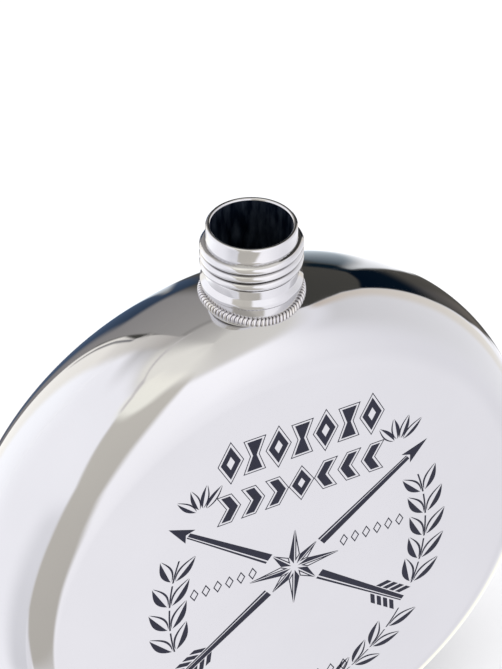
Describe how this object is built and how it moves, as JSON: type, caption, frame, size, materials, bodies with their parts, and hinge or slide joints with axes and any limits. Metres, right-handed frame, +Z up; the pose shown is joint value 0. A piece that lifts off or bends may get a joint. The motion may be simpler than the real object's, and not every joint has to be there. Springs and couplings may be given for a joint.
{
  "type": "hip flask",
  "caption": "Round, flat-faced metal hip flask with a welded threaded neck, shown open, and its loose screw cap standing behind it.",
  "frame": {"origin": "centre of the flask's base flat, on the surface it stands on", "axes": "+Z up along the neck's axis, -Y out of the flat printed front face, +X to the right seen from the front"},
  "size_m": [0.094, 0.0521, 0.1032],
  "materials": {
    "polished_steel": "mirror polished stainless steel",
    "turned_steel": "fine turned and polished stainless steel",
    "weld_steel": "bright weld metal",
    "brushed_steel": "satin brushed stainless steel",
    "cap_plastic": "satin moulded plastic",
    "silicone": "matte silicone",
    "print_ink": "navy printed ink"
  },
  "bodies": {
    "flask": {"front_shell": "polished_steel", "back_shell": "polished_steel", "rim_weld_seam": "weld_steel", "neck_spout": "turned_steel", "neck_weld_bead": "weld_steel"},
    "cap_seal": {"cap_gasket": "silicone"},
    "cap_top": {"cap_top_disc": "brushed_steel"},
    "cap": {"cap_shell": "brushed_steel", "cap_liner": "cap_plastic"}
  },
  "joints": [
    {"name": "cap_carry", "type": "hinge", "parent": "flask", "child": "cap_seal", "pos_m": [0, 0.015, 0.05853], "axis": [1, 0, 0], "range_deg": [0, 180]},
    {"name": "cap_screw", "type": "slide", "parent": "cap_seal", "child": "cap_top", "axis": [0, 0, 1], "range_m": [0, 0.0084]},
    {"name": "cap_turn", "type": "hinge", "parent": "cap_top", "child": "cap", "pos_m": [0, 0.03, 0], "axis": [0, 0, 1], "range_deg": [0, 2160]}
  ],
  "couplings": [
    {"joint": "cap_screw", "follows": "cap_turn", "m_per_rad": 0.00022282}
  ]
}
